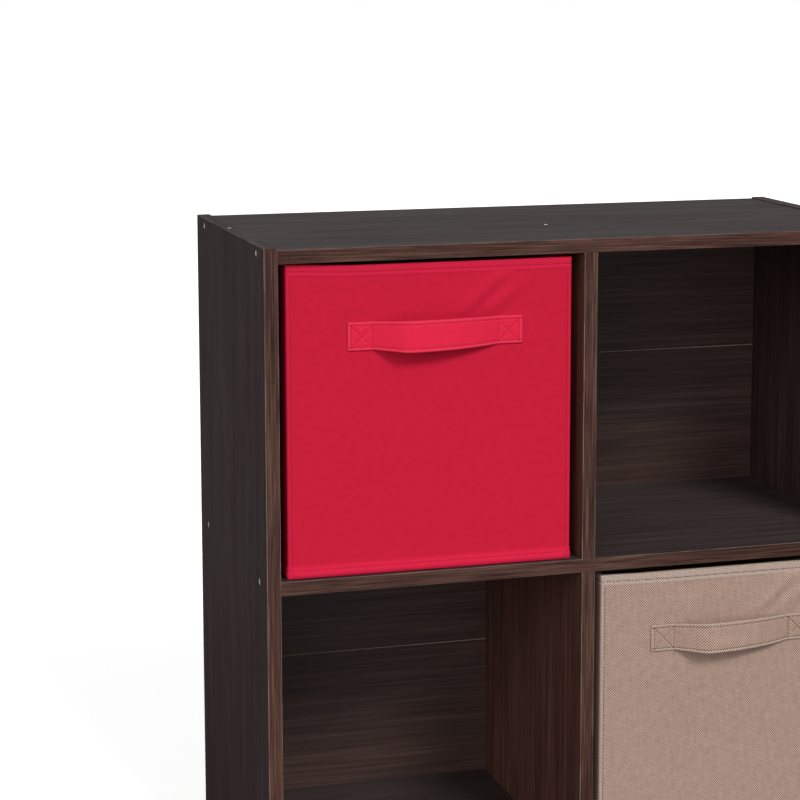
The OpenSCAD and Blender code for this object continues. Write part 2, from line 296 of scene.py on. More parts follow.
def melamine_board(name, grain, tones):
    """Melamine faced particle board: satin print, fine pore emboss, raw chips on the hidden edges."""
    material, tree = new_material(name)
    printed, pores = wood_print(tree, grain, tones, BOARD_CONTRAST, 0.55, "#1d1515")
    raw = raw_edges(tree)
    colour = blend_colour(tree, raw, printed, chip_core(tree))
    satin = steps(tree, cloud(tree, stretched(tree, grain, 6), 30, 2.0), 0.3, 0.7, 0.40, 0.48)
    roughness = sum_of(tree, "ADD", satin, times(tree, raw, 0.4))
    bump = bumped(tree, pores, 0.6, -PORE_DEPTH_MM)
    return finish_surface(material, colour, roughness, Normal=bump, Specular_IOR_Level=0.16)


def dress(nodes, material):
    """Gives CAD nodes their finish."""
    for node in nodes:
        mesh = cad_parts[node].data
        mesh.materials.clear()
        mesh.materials.append(material)


# The one walnut print in three tones by which way the boards face: the uprights darkest, as painted shade on
# the sides; the level boards greyer and lighter, as painted sheen from above; the dividers browner and
# lighter, as painted bounce light inside the cubes.
for name, grain, tones, boards in (
    ("upright", "Z", ("#2c1d1e", "#3b292a", "#4b3738"), ("left_side", "right_side")),
    ("level", "X", ("#332a2a", "#3f3635", "#4c4241"), ("top_panel", "bottom_panel", "centre_shelf")),
    ("divider", "Z", ("#40271f", "#573730", "#6c4b42"), ("upper_divider", "lower_divider")),
):
    dress(boards, melamine_board("melamine_walnut_painted_shading_" + name, grain, tones))

# ---------- Edge bands ----------
# A strip of melamine paper ironed onto every front edge and onto the top ends of the sides. On the front it
# is a browner print than the faces. Its grain follows the strip. Its arrises carry fine pale lines in
# patches, a painted highlight for the light that the edges catch.

ARRIS_MM = 0.6
BAND_STREAK_MM = 1.1
BAND_CONTRAST = 0.11
FRONT_TONES = ("#25120e", "#402720", "#573d32")
# The top ends of the sides take the level boards' greyer tone: the same painted sheen from above.
END_TONES = ("#352c2b", "#413837", "#4f4544")


def band_edge(node, name, grain, across, tones, arris_highlight):
    """Dresses one strip. across is the axis over its width, and the last value sets how pale the painted
    highlight on its arrises is.
    """
    low, high = (corner[GRAIN_AXES[across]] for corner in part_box(node))
    centre, half = (high + low) / 2, (high - low) / 2
    material, tree = new_material(name)
    colour, pores = wood_print(tree, grain, tones, BAND_CONTRAST, 0.6, "#2a1712", BAND_STREAK_MM)
    off = sum_of(tree, "ABSOLUTE", sum_of(tree, "SUBTRACT", place_in(tree, across), centre), 0.0)
    arris = steps(tree, off, half - ARRIS_MM * MM, half - 0.5 * ARRIS_MM * MM)
    patchy_arris_highlight = steps(tree, cloud(tree, stretched(tree, grain, 8), 4, 3.0), 0.35, 0.6, 0.35 * arris_highlight, arris_highlight)
    # Painted highlight: the arrises are mixed towards pale grey, in patches along the strip.
    colour = blend_colour(tree, times(tree, arris, patchy_arris_highlight), colour, linear("#8a7c74"))
    bump = bumped(tree, pores, 0.6, -PORE_DEPTH_MM)
    dress([node], finish_surface(material, colour, 0.5, Normal=bump, Specular_IOR_Level=0.18))


for board in ("left_side", "right_side", "upper_divider", "lower_divider"):
    band_edge(board + "_edge_band", "banding_" + board, "Z", "X", FRONT_TONES, 0.9)
for board in ("top", "bottom", "shelf"):
    band_edge(board + "_edge_band", "banding_" + board, "X", "Z", FRONT_TONES, 0.4)
for board in ("left_side", "right_side"):
    band_edge(board + "_end_band", f"banding_{board}_end", "Y", "X", END_TONES, 0.8)

# ---------- Back ----------
# Thin hardboard in three panels, faced with the same print on the inside and bare on the outside. It is
# shipped folded, and paper tapes hinge it. The tape shows as a pale line where the panels meet.

FIBRE_MM = 1.2
BACK_CONTRAST = 0.16
BACK_TONES = ("#2b1d1a", "#3a2824", "#4b3631")
back_low, back_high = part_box("back_middle")


def hardboard(name):
    """Foil printed hardboard in front, brown pressed fibre behind."""
    material, tree = new_material(name)
    printed = wood_print(tree, "X", BACK_TONES, BACK_CONTRAST, 0.4, "#1f1716")[0]
    behind = sum_of(tree, "GREATER_THAN", place_in(tree, "Y"), (back_low[1] + back_high[1]) / 2)
    fibre = cloud(tree, place_in(tree), FIBRE_MM, 5.0)
    bare = ramp(tree, fibre, (0.3, "#6b4a30"), (0.5, "#7d5a3c"), (0.7, "#8f6b4a"))
    colour = blend_colour(tree, behind, printed, bare)
    roughness = sum_of(tree, "ADD", 0.5, times(tree, behind, 0.35))
    bump = bumped(tree, fibre, 0.25, 0.1)
    return finish_surface(material, colour, roughness, Normal=bump, Specular_IOR_Level=0.3)


dress(("back_upper", "back_middle", "back_lower"), hardboard("foil_printed_hardboard"))

TAPE_MM = 24
TAPE_THICK_MM = 0.25
RIB_SHY_MM = 0.3


def mottled(name, size_mm, detail, low, high, roughness, grain=None):
    """A plain material that goes from one colour stop to another in lumps, or in streaks along a grain."""
    material, tree = new_material(name)
    place = stretched(tree, grain, 6) if grain else place_in(tree)
    return finish_surface(material, ramp(tree, cloud(tree, place, size_mm, detail), low, high), roughness)


def fold_tapes():
    """Both tapes as one mesh: each is a flat strip behind the back with a ridge that stands up in the open
    fold."""
    low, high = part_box("back_fold_tapes")
    points, faces = [], []
    for lower, upper in (("back_lower", "back_middle"), ("back_middle", "back_upper")):
        gap_low, gap_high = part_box(lower)[1][2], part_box(upper)[0][2]
        fold_z = (gap_low + gap_high) / 2
        rib, half = (gap_high - gap_low) / 2 - 0.02 * MM, TAPE_MM / 2 * MM
        inner, tip = back_high[1], back_low[1] + RIB_SHY_MM * MM
        outer = inner + TAPE_THICK_MM * MM
        section = [(outer, -half), (outer, half), (inner, half), (inner, rib), (tip + rib, rib), (tip, 0),
                   (tip + rib, -rib), (inner, -rib), (inner, -half)]
        first, count = len(points), len(section)
        points += [(x, y, fold_z + z) for x in (low[0], high[0]) for y, z in section]
        faces += [(first + i, first + count + i, first + count + (i + 1) % count, first + (i + 1) % count)
                  for i in range(count)]
        faces.append(tuple(range(first, first + count)))
        faces.append(tuple(range(first + 2 * count - 1, first + count - 1, -1)))
    return shaped("folding_back_tapes", points, faces)


tapes = fold_tapes()
paper = mottled("kraft_paper_tape", 0.8, 3.0, (0.35, "#a48f78"), (0.65, "#c0ac93"), 0.8, "X")
tapes.data.materials.append(paper)
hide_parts("back_fold_tapes")
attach(tapes, "cabinet")

# ---------- Screws ----------
# Countersunk wood screws with a cross recess and a coarse thread, driven into every board end. Their coat
# is zinc flakes in a clear binder, half metal and half chalk, toned nearly white: a painted highlight that
# stands in for the glints on the heads.

SCREW_HEAD_MM = 3.5
SCREW_SUNK_MM = 0.1
SCREW_DOME_MM = 0.5
SCREW_CORE_MM = 1.5
THREAD_HIGH_MM = 0.65
THREAD_PITCH_MM = 2.4
RECESS_LONG_MM = 2.1
RECESS_HALF_MM = 0.5
RECESS_DEEP_MM = 1.3
AROUND = 32


def zinc_painted_bright():
    """Zinc coat, satin with small cloudy patches, toned nearly white: a painted highlight for the heads'
    glints.
    """
    material, tree = new_material("zinc_coat_painted_highlight")
    flakes = cloud(tree, place_in(tree), 0.6, 3.0)
    colour = ramp(tree, flakes, (0.3, "#e2e2de"), (0.7, "#f6f6f2"))
    return finish_surface(material, colour, steps(tree, flakes, 0.3, 0.7, 0.34, 0.5), Metallic=0.4)


def solids_of(node):
    """The long solids of a CAD node: each one's outer end, its direction outwards, its length and its
    widest half. The outer end is the one with the head, or either end of a plain pin."""
    whole = bmesh.new()
    whole.from_mesh(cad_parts[node].data)
    bmesh.ops.remove_doubles(whole, verts=whole.verts, dist=0.001 * MM)
    todo, found = set(whole.verts), []
    while todo:
        edge, solid = [todo.pop()], []
        while edge:
            vert = edge.pop()
            solid.append(vert.co.copy())
            linked = [side.other_vert(vert) for side in vert.link_edges]
            edge += [other for other in linked if other in todo]
            todo.difference_update(linked)
        low = Vector([min(v[i] for v in solid) for i in range(3)])
        high = Vector([max(v[i] for v in solid) for i in range(3)])
        size, middle = high - low, (low + high) / 2
        axis = max(range(3), key=lambda i: size[i])
        half = max(size[i] for i in range(3) if i != axis) / 2

        def width_at(level):
            ends = [v - middle for v in solid if abs(v[axis] - level) < 1 * MM]
            return max(math.hypot(*(v[i] for i in range(3) if i != axis)) for v in ends)

        sign = 1 if width_at(high[axis]) >= width_at(low[axis]) else -1
        outward = Vector([sign if i == axis else 0 for i in range(3)])
        found.append((middle + outward * size[axis] / 2, outward, size[axis], half))
    whole.free()
    return sorted(found, key=lambda solid: tuple(round(value, 5) for value in solid[0]))


def turned(name, profile, shape=lambda radius, level, angle: (radius, level)):
    """A piece turned about its own Z, as an object at the origin. profile runs from the top to the bottom,
    in millimetres, and shape may move each point of it in or out, up or down."""
    points, faces = [(0, 0, shape(0, profile[0][1], 0)[1] * MM)], []
    for radius, level in profile:
        for k in range(AROUND):
            angle = 2 * math.pi * k / AROUND
            away, height = shape(radius, level, angle)
            points.append((away * math.cos(angle) * MM, away * math.sin(angle) * MM, height * MM))
    points.append((0, 0, profile[-1][1] * MM))
    for k in range(AROUND):
        left, right = (range(1 + j % AROUND, len(points) - 1, AROUND) for j in (k, k + 1))
        faces += [(0, left[0], right[0]), *zip(left, left[1:], right[1:], right)]
        faces.append((right[-1], left[-1], len(points) - 1))
    made = shaped(name, points, faces)
    made.data.shade_smooth()
    made.data.set_sharp_from_angle(angle=math.radians(40))
    return made


def laying_tree(name, **kinds):
    """An empty tree that lays things along a guide, and the values that it is given."""
    tree = bpy.data.node_groups.new(name, "GeometryNodeTree")
    for key, kind in {"Geometry": "Geometry", **kinds, "Material": "Material"}.items():
        tree.interface.new_socket(key, in_out="INPUT", socket_type="NodeSocket" + kind)
    tree.interface.new_socket("Geometry", in_out="OUTPUT", socket_type="NodeSocketGeometry")
    return tree, add(tree, "NodeGroupInput").outputs


def lay(tree, given, points, one, turned_to=(0, 0, 0), **settings):
    """Stands one thing on each point, with its top facing the outward attribute, and paints them all."""
    outward = value_of(tree, "GeometryNodeInputNamedAttribute", {"Name": "outward"}, "Attribute",
                       data_type="FLOAT_VECTOR")
    facing = {"Vector": outward, "Rotation": turned_to}
    upright = value_of(tree, "FunctionNodeAlignRotationToVector", facing, axis="Z", **settings)
    placing = {"Points": points, "Instance": one, "Rotation": upright}
    laid = value_of(tree, "GeometryNodeInstanceOnPoints", placing)
    real = value_of(tree, "GeometryNodeRealizeInstances", {"Geometry": laid})
    painted = value_of(tree, "GeometryNodeSetMaterial", {"Geometry": real, "Material": given["Material"]})
    add(tree, "NodeGroupOutput", {"Geometry": painted})


def laid_out(name, points, edges, outward, tree, **inputs):
    """Runs a tree on a guide of points and edges, and gives the result as a plain mesh object."""
    guide = shaped(name + "_guide", points, [], edges)
    facing = guide.data.attributes.new("outward", "FLOAT_VECTOR", "POINT")
    facing.data.foreach_set("vector", [value for direction in outward for value in direction])
    laying = guide.modifiers.new("laying", "NODES")
    laying.node_group = tree
    for socket in tree.interface.items_tree:
        if socket.name in inputs:
            laying[socket.identifier] = inputs[socket.name]
    bpy.context.view_layer.update()
    shown = guide.evaluated_get(bpy.context.evaluated_depsgraph_get())
    made = stand(name, bpy.data.meshes.new_from_object(shown))
    bpy.data.objects.remove(guide)
    return made


def fit_fasteners(node, template, material):
    """Puts a copy of the template where each fastener of the CAD node is, and stands for that node."""
    solids = solids_of(node)
    ends, outward = [solid[0] for solid in solids], [solid[1] for solid in solids]
    fitted = node + "_fitted"
    made = laid_out(fitted, ends, [], outward, driven_fasteners, Object=template, Material=material)
    bpy.data.objects.remove(template)
    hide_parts(node)
    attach(made, "cabinet")


def screw(length):
    """One screw, with its head's face at the top of a length given in metres."""
    long = length / MM
    neck, start, end = -SCREW_SUNK_MM - 2.2, -5.0, -long + 3.0
    profile = [(0.3 * i, -SCREW_SUNK_MM) for i in range(1, 10)]
    profile += [(SCREW_HEAD_MM - 0.25, -SCREW_SUNK_MM), (SCREW_HEAD_MM, -SCREW_SUNK_MM - 0.2),
                (SCREW_HEAD_MM, -SCREW_SUNK_MM - 0.4), (SCREW_CORE_MM, neck)]
    turns = round((start - end) / THREAD_PITCH_MM * 6)
    profile += [(SCREW_CORE_MM, start + (end - start) * i / turns) for i in range(turns + 1)]
    profile += [(SCREW_CORE_MM * 0.6, -long + 1.2), (0.2, -long)]

    def shape(radius, level, angle):
        if radius < SCREW_HEAD_MM and level > -SCREW_SUNK_MM - 0.01:
            arm = min(abs(radius * math.cos(angle)), abs(radius * math.sin(angle)))
            inside = max(0.0, 1 - (arm / RECESS_HALF_MM) ** 2) * max(0.0, 1 - (radius / RECESS_LONG_MM) ** 4)
            domed = level + SCREW_DOME_MM * (1 - (radius / SCREW_HEAD_MM) ** 2)
            return radius, domed - RECESS_DEEP_MM * inside
        if end <= level <= start:
            turn = (-level / THREAD_PITCH_MM + angle / (2 * math.pi)) % 1
            run_in = min(1.0, (start - level) / 2, (level - end) / 2)
            return radius + THREAD_HIGH_MM * run_in * max(0.0, 1 - abs(turn - 0.5) / 0.22), level
        return radius, level

    return turned("wood_screw", profile, shape)


driven_fasteners, given = laying_tree("driven_fasteners", Object="Object")
one = value_of(driven_fasteners, "GeometryNodeObjectInfo", {"Object": given["Object"]}, "Geometry")
lay(driven_fasteners, given, given["Geometry"], one)
zinc = zinc_painted_bright()
for screws in ("side_screws", "divider_screws", "side_end_screws"):
    fit_fasteners(screws, screw(solids_of(screws)[0][2]), zinc)

# ---------- Nails ----------
# Short flat headed nails that hold the back to the shelf and the dividers, with the same coat as the
# screws. The heads stand on the back's bare face.


def nail(length, half):
    """One nail, with its head's face at the top."""
    long, head = length / MM, half / MM
    profile = [(head * 0.5, 0.0), (head - 0.25, -0.02), (head, -0.2), (head, -0.5), (head - 0.2, -0.6),
               (head * 0.4, -0.7), (head * 0.36, -long + 2.5), (0.15, -long)]
    return turned("flat_head_nail", profile)


fit_fasteners("back_nails", nail(*solids_of("back_nails")[0][2:]), zinc)

# ---------- Dowels ----------
# Turned beech pins that line up the boards. They are grooved along their length to let the glue and the air
# out, and their ends are chamfered.

FLUTES = 8
FLUTE_DEEP_MM = 0.35
DOWEL_CHAMFER_MM = 1.0


def dowel(length, half):
    """One fluted dowel."""
    long, out = length / MM, half / MM
    profile = [(out - DOWEL_CHAMFER_MM, 0.0), (out, -DOWEL_CHAMFER_MM), (out, -long / 2),
               (out, -long + DOWEL_CHAMFER_MM), (out - DOWEL_CHAMFER_MM, -long)]

    def shape(radius, level, angle):
        deep = FLUTE_DEEP_MM * max(0.0, -math.cos(FLUTES * angle)) if radius > out - 0.1 else 0.0
        return radius - deep, level

    return turned("fluted_dowel", profile, shape)


dowel_wood = mottled("raw_beech", 1.5, 4.0, (0.35, "#a98558"), (0.6, "#c9a878"), 0.7)
for dowels in ("side_dowels", "divider_dowels", "through_dowels"):
    fit_fasteners(dowels, dowel(*solids_of(dowels)[0][2:]), dowel_wood)

# ---------- Drawer fabric and thread ----------
# Spunbonded polypropylene: melted fibres laid at random and fused by a pattern of small dots, which gives a
# matt, faintly cloudy cloth. The tan cloth has the deeper emboss. Hems and folded edges take a lighter tone,
# a painted highlight. The straps are folded four thick; the red one's lighter tone is partly that and partly
# painted light where the bowed strap catches the lamps. Seams are sewn with a spun thread of the same
# colour,
# a little deeper: partly its own tone and partly painted shade of the stitch holes.

FIBRE_CLOUD_MM = 7
FIBRE_WIDE_MM = 0.7
EMBOSS = {"red": (1.3, 0.1, 0.04), "tan": (1.75, 0.92, 0.2)}


def spunbond(name, deep, thin, full, fold_highlight_tone, emboss, sheen):
    """Fused fibre cloth on the piece's own cloth map, which is in metres. Hems and folded edges are marked
    by an attribute and take a lighter tone there: a painted highlight where folds catch the light."""
    material, tree = new_material(name)
    dot_mm, dot_share, dot_depth_mm = emboss
    lay = value_of(tree, "ShaderNodeTexCoord", output="UV")
    web = mean_of(tree, cloud(tree, lay, FIBRE_CLOUD_MM, 4.0), cloud(tree, lay, FIBRE_WIDE_MM, 3.0), 0.6)
    fold_highlight = value_of(tree, "ShaderNodeAttribute", output="Fac", attribute_name="fold_highlight")
    tone = blend_colour(tree, fold_highlight, ramp(tree, web, (0.3, thin), (0.7, full)), linear(fold_highlight_tone))
    slanted = value_of(tree, "ShaderNodeMapping", {"Vector": lay, "Rotation": (0, 0, math.radians(45))})
    dots = value_of(tree, "ShaderNodeTexVoronoi", {
        "Vector": slanted, "Scale": 1 / (dot_mm * MM), "Randomness": 0.0,
    }, voronoi_dimensions="2D")
    fused = steps(tree, dots, 0.18, 0.46, 1.0, 0.0)
    colour = blend_colour(tree, times(tree, fused, dot_share), tone, linear(deep))
    height = sum_of(tree, "SUBTRACT", times(tree, web, 0.5), times(tree, fused, 0.8))
    return finish_surface(material, colour, steps(tree, web, 0.3, 0.7, 0.72, 0.86), Specular_IOR_Level=0.06,
                   Normal=bumped(tree, height, 0.7, dot_depth_mm),
                   Sheen_Weight=sheen, Sheen_Roughness=0.45, Sheen_Tint=linear(fold_highlight_tone))


def spun_thread(name, colour_hex, shade_hex):
    """Polyester sewing thread, a deeper tone than the cloth: partly its own colour and partly painted shade
    of the stitch holes. Mottled darker in small lumps.
    """
    material, tree = new_material(name)
    ply = cloud(tree, place_in(tree), 0.5, 2.0)
    colour = blend_colour(tree, times(tree, ply, 0.5), linear(colour_hex), linear(shade_hex))
    return finish_surface(material, colour, 0.7, Specular_IOR_Level=0.15)


DRAWER_CLOTH = {
    "red": spunbond("spunbond_red", "#9c0a26", "#af1730", "#ba1b36", "#c11f3e", EMBOSS["red"], 0.06),
    "tan": spunbond("spunbond_tan", "#3e2c22", "#a3887b", "#b99e91", "#c1aea4", EMBOSS["tan"], 0.06),
}
# The red strap's cloth is lighter than the walls': partly the thicker folded cloth, partly painted light
# where the bowed strap catches the lamps.
STRAP_CLOTH = {
    "red": spunbond("spunbond_red_folded", "#a50c2b", "#c5203b", "#d02542", "#d83f5a", EMBOSS["red"], 0.2),
    "tan": spunbond("spunbond_tan_folded", "#3e2c22", "#a3887b", "#b99e91", "#c4b0a4", EMBOSS["tan"], 0.1),
}
# The threads are darker than the cloth: partly their own tone, partly painted shade of the stitch holes.
DRAWER_THREAD = {
    "red": spun_thread("thread_red", "#ab112c", "#84091e"),
    "tan": spun_thread("thread_tan", "#54443a", "#3a2e27"),
}


def smooth_step(value, low, high):
    """0 below low, 1 above high and smooth between."""
    share = min(max((value - low) / (high - low), 0.0), 1.0)
    return share * share * (3 - 2 * share)


def within(value, low, high, soft):
    """1 from low to high, falling smoothly to 0 over soft on both sides."""
    return smooth_step(value, low - soft, low) * smooth_step(-value, -high - soft, -high)


def bell(value, width):
    """1 at zero, falling away over width on both sides."""
    return math.exp(-((value / width) ** 2))


def mesh_piece(name, points, faces, maps, material):
    """A smooth object at the origin. maps holds one cloth map coordinate for each corner of each face."""
    made = shaped(name, points, faces)
    layer = made.data.uv_layers.new(name="cloth")
    layer.data.foreach_set("uv", [value for pair in maps for value in pair])
    made.data.shade_smooth()
    made.data.materials.append(material)
    return made


# ---------- Drawer covers ----------
# One sewn box of doubled cloth. A stiffening board sits in a pocket in each wall, so the walls stay nearly
# flat but ripple a little. A folded hem is stitched round the rim, a second band round the foot, and a seam
# at each corner.

HEM_MM = 10.3
HEM_STITCH_MM = 6.2
HEM_OUT_MM = 0.5
FOOT_MM = 11.5
FOOT_STITCH_MM = 8
FOOT_OUT_MM = 1.0
FOOT_BULGE_MM = 2.2
RIM_ROUND_MM = 0.7
RIM_SAG_MM = {"red": 0.0, "tan": 3.6}
CORNER_RISE_MM = {"red": (2.4, 0.3, 0.6, 0.9), "tan": (1.3, 0.8, 0.4, 0.9)}
SEAM_IN_MM = 3.6
SEAM_OUT_MM = 0.4
SEAM_ZONE_MM = 6
SEAM_STEP_MM = 0.5
CORNER_MM = 2.0
LEAST_CORNER_MM = 0.6
WALL_MM = 4.2
SIDE_STEP_MM = 2.4
ROW_STEP_MM = 4.5
CORNER_STEPS = 6
STRAP_UP_MM = {"red": 1.4, "tan": -1.6}
FOLD_HEAD_MM = (-3, 40)
FOLD_FOOT_MM = (-56, -4)
FOLD_WIDE_MM = 6
FOLD_HIGH_MM = 2.2
FOLD_DEEP_MM = 0.5
MOST_IN_MM = 0.6
SLOW_HIGH_MM = 1.3
QUICK_HIGH_MM = 0.45
PUCKER_MM = 9.5
PUCKER_HIGH_MM = 0.22
SIDES = (((0, -1), (1, 0)), ((1, 0), (0, 1)), ((0, 1), (-1, 0)), ((-1, 0), (0, -1)))
CORNERS = ((-1, -1), (1, -1), (1, 1), (-1, 1))


def even(low, high, step):
    """Evenly spaced values from low to high, about step apart."""
    count = max(1, round((high - low) / step))
    return [low + (high - low) * i / count for i in range(count + 1)]


class BoxOutline:
    """A CAD node's upright walls seen from above: four straight sides joined by rounded corners."""

    def __init__(self, node, radius_mm, step_mm):
        self.low, self.high = (Vector(c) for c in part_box(node))
        self.centre = ((self.low + self.high) / 2).xy
        self.half = [(self.high[axis] - self.low[axis]) / 2 for axis in (0, 1)]
        self.radius = radius_mm * MM
        self.spots = []
        for side in range(4):
            reach = self.reach(side) - self.radius
            seam = even(reach - SEAM_ZONE_MM * MM, reach, SEAM_STEP_MM * MM)
            middle = even(-seam[0], seam[0], step_mm * MM)[1:-1]
            for along in [-value for value in reversed(seam)] + middle + seam:
                self.spots.append((side, along / reach, 0.0))
            for corner in range(1, CORNER_STEPS):
                self.spots.append((side, 1.0, math.pi / 2 * corner / CORNER_STEPS))
        places = [self.place(spot, 0.0)[0] for spot in self.spots]
        self.run = [0.0]
        for first, second in zip(places, places[1:] + places[:1]):
            self.run.append(self.run[-1] + (second - first).length)

    def reach(self, side):
        """Half the length of a side."""
        return self.half[0] if side % 2 == 0 else self.half[1]

    def place(self, spot, out):
        """A spot's point, out from the outline, and the direction that faces outwards there."""
        side, share, turn = spot
        normal, along = (Vector(v) for v in SIDES[side])
        radius = max(self.radius + out, LEAST_CORNER_MM * MM)
        away = self.reach(side + 1) + out - radius
        length = self.reach(side) + out - radius
        facing = normal * math.cos(turn) + along * math.sin(turn)
        return self.centre + normal * away + along * length * share + facing * radius, facing


def ring_mesh(name, outline, rows, wave, material, closing, rise=lambda flat, height: 0.0):
    """Lofts rings of an outline. Each row is (out, height, share of the wave). closing is 'tube' to join
    the last row to the first, or 'caps' to fill both ends."""
    points, faces, maps = [], [], []
    count = len(outline.spots)
    climb = [0.0]
    for (out_a, height_a, _), (out_b, height_b, _) in zip(rows, rows[1:] + rows[:1]):
        climb.append(climb[-1] + math.hypot(out_b - out_a, height_b - height_a))
    for out, height, share in rows:
        for spot in outline.spots:
            flat, facing = outline.place(spot, out)
            if share:
                side, part, turn = spot
                along = part * (outline.reach(side) - (outline.radius if turn == 0.0 else 0.0))
                flat = flat + facing * (share * wave(side, along, height))
            points.append((flat.x, flat.y, height + rise(flat, height)))
    for i in range(len(rows) - (closing == "caps")):
        j = (i + 1) % len(rows)
        for k in range(count):
            m = (k + 1) % count
            faces.append((i * count + k, i * count + m, j * count + m, j * count + k))
            left, right = outline.run[k], outline.run[k + 1]
            maps += [(left, climb[i]), (right, climb[i]), (right, climb[i + 1]), (left, climb[i + 1])]
    if closing == "caps":
        for face in (range(count - 1, -1, -1), range(len(points) - count, len(points))):
            faces.append(tuple(face))
            maps += [points[corner][:2] for corner in face]
    return mesh_piece(name, points, faces, maps, material)


class Drawer:
    """Where one drawer stands, from its CAD nodes."""

    def __init__(self, colour):
        self.colour, self.body = colour, colour + "_drawer"
        self.outline = BoxOutline(self.body + "_cover", CORNER_MM, SIDE_STEP_MM)
        self.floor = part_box(self.body + "_bottom")[0][2]
        self.rim = self.outline.high.z - RIM_SAG_MM[colour] * MM
        lift = Vector((0, 0, STRAP_UP_MM[colour] * MM))
        self.strap_low, self.strap_high = (Vector(c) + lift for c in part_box(self.body + "_handle"))
        self.seed = 3.7 if colour == "red" else 11.3

    def rise(self, flat, height):
        """How much higher the cloth stands at a corner, where the seam stiffens it."""
        (mid_x, mid_y), (half_x, half_y) = self.outline.centre, self.outline.half
        lift = 0.0
        for amount, (out_x, out_y) in zip(CORNER_RISE_MM[self.colour], CORNERS):
            away = math.hypot(flat.x - mid_x - out_x * half_x, flat.y - mid_y - out_y * half_y)
            lift += amount * MM * bell(away, 38 * MM)
        return lift * smooth_step(height, self.rim - 60 * MM, self.rim - 6 * MM)

    def near_strap(self, side, along, height):
        """1 on the patches where the strap is sewn down, else 0."""
        if side != 0:
            return 0.0
        x, low, high = self.outline.centre.x + along, self.strap_low, self.strap_high
        return within(x, low.x, high.x, 10 * MM) * within(height, low.z, high.z, 10 * MM)

    def pull_fold(self, side, along, height):
        """The soft valley from near the hem to the strap's right end, which pulls on the cloth."""
        if side != 0:
            return 0.0
        head, foot = (self.strap_high.xz + Vector(end) * MM for end in (FOLD_HEAD_MM, FOLD_FOOT_MM))
        run = foot - head
        here = Vector((self.outline.centre.x + along, height)) - head
        share = here.dot(run) / run.length_squared
        off = (here.x * run.y - here.y * run.x) / run.length
        beside = bell(abs(off) - 1.4 * FOLD_WIDE_MM * MM, FOLD_WIDE_MM * MM)
        valley = FOLD_HIGH_MM * beside - FOLD_DEEP_MM * bell(off, 0.7 * FOLD_WIDE_MM * MM)
        return valley * smooth_step(share, -0.1, 0.35) * smooth_step(-share, -1.15, -0.75)

    def wave(self, side, along, height):
        """How far the cloth of a wall stands out from its board."""
        seam = self.outline.reach(side) - abs(along)
        foot = height - self.floor - FOOT_MM * MM
        head = self.rim - HEM_MM * MM - height
        calm = smooth_step(seam, 7 * MM, 45 * MM) * smooth_step(foot, 0, 40 * MM)
        calm *= smooth_step(head, 0, 30 * MM)
        slow = noise.noise(Vector((along / (85 * MM), height / (120 * MM), side * 5.3 + self.seed)))
        quick = noise.noise(Vector((along / (34 * MM), height / (60 * MM), side * 3.1 - self.seed)))
        beat = noise.noise(Vector((along / (30 * MM), self.seed, side * 2.3)))
        edge = min(foot, head)
        near_hem = math.exp(-max(edge, 0) / (6 * MM)) * smooth_step(edge, -1 * MM, 1.5 * MM)
        pucker = math.sin(2 * math.pi * along / (PUCKER_MM * MM) + 3 * beat) * near_hem
        pucker *= PUCKER_HIGH_MM * smooth_step(seam, 5 * MM, 12 * MM)
        ripple = calm * (SLOW_HIGH_MM * slow + QUICK_HIGH_MM * quick)
        cloth = ripple + pucker + self.pull_fold(side, along, height)
        held = 1 - self.near_strap(side, along, height)
        turned_in = SEAM_OUT_MM * smooth_step(-seam, -SEAM_IN_MM * MM, -(SEAM_IN_MM - 1) * MM)
        pinch = 0.5 * bell(seam - SEAM_IN_MM * MM, 0.8 * MM)
        belly = FOOT_BULGE_MM * bell(foot + 7 * MM, 5 * MM) * smooth_step(seam, 0, 9 * MM) * (side == 0)
        return (max(cloth * held, -MOST_IN_MM) + turned_in - pinch + belly) * MM


def cover_rows(drawer):
    """The cover's outline from the foot up the outside, over the rim and down the inside."""
    floor, rim = drawer.floor, drawer.rim
    rows = [(-1.2, 0.1, 0), (-0.3, 0.15, 0.6), (0.2, 0.7, 1)]
    for up in even(1.4, FOOT_MM - 0.7, 0.9):
        belly = math.sin(math.pi * (up / (FOOT_STITCH_MM * 1.05))) ** 0.6 if up < FOOT_STITCH_MM else 0.0
        edge = 0.55 if up > FOOT_STITCH_MM else 0.0
        rows.append((max(FOOT_OUT_MM * belly, edge, 0.12), up, 1))
    rows += [(0.45, FOOT_MM - 0.25, 1), (0.1, FOOT_MM, 1), (0.0, FOOT_MM + 0.4, 1)]
    top = (rim - floor) / MM
    hem = top - HEM_MM
    rows += [(0.0, up, 1) for up in even(FOOT_MM + 1.5, hem - 1.5, ROW_STEP_MM)]
    rows += [(0.0, hem - 0.7, 0.5), (0.12, hem - 0.1, 0.2), (HEM_OUT_MM * 0.8, hem + 0.5, 0)]
    for up in even(hem + 1.1, top - RIM_ROUND_MM - 0.3, 0.8):
        rows.append((HEM_OUT_MM - 0.45 * bell(up - (top - HEM_STITCH_MM), 0.7), up, 0))
    turns = [math.radians(turn) for turn in (0, 25, 50, 75)]
    crook = [(RIM_ROUND_MM * (1 - math.cos(a)), top - RIM_ROUND_MM * (1 - math.sin(a))) for a in turns]
    rows += [(HEM_OUT_MM - inward, up, 0) for inward, up in crook]
    rows.append(((HEM_OUT_MM - WALL_MM) / 2, top, 0))
    rows += [(-WALL_MM + inward, up, 0) for inward, up in reversed(crook)]
    rows += [(-WALL_MM, hem, 0), (-WALL_MM - 0.1, hem - 0.6, 0)]
    rows += [(-WALL_MM, up, 0.3) for up in even(hem - 6, 8, 9)]
    rows += [(-WALL_MM, 1.2, 0), (-WALL_MM + 0.4, 0.9, 0)]
    return [(out * MM, floor + up * MM, share) for out, up, share in rows]


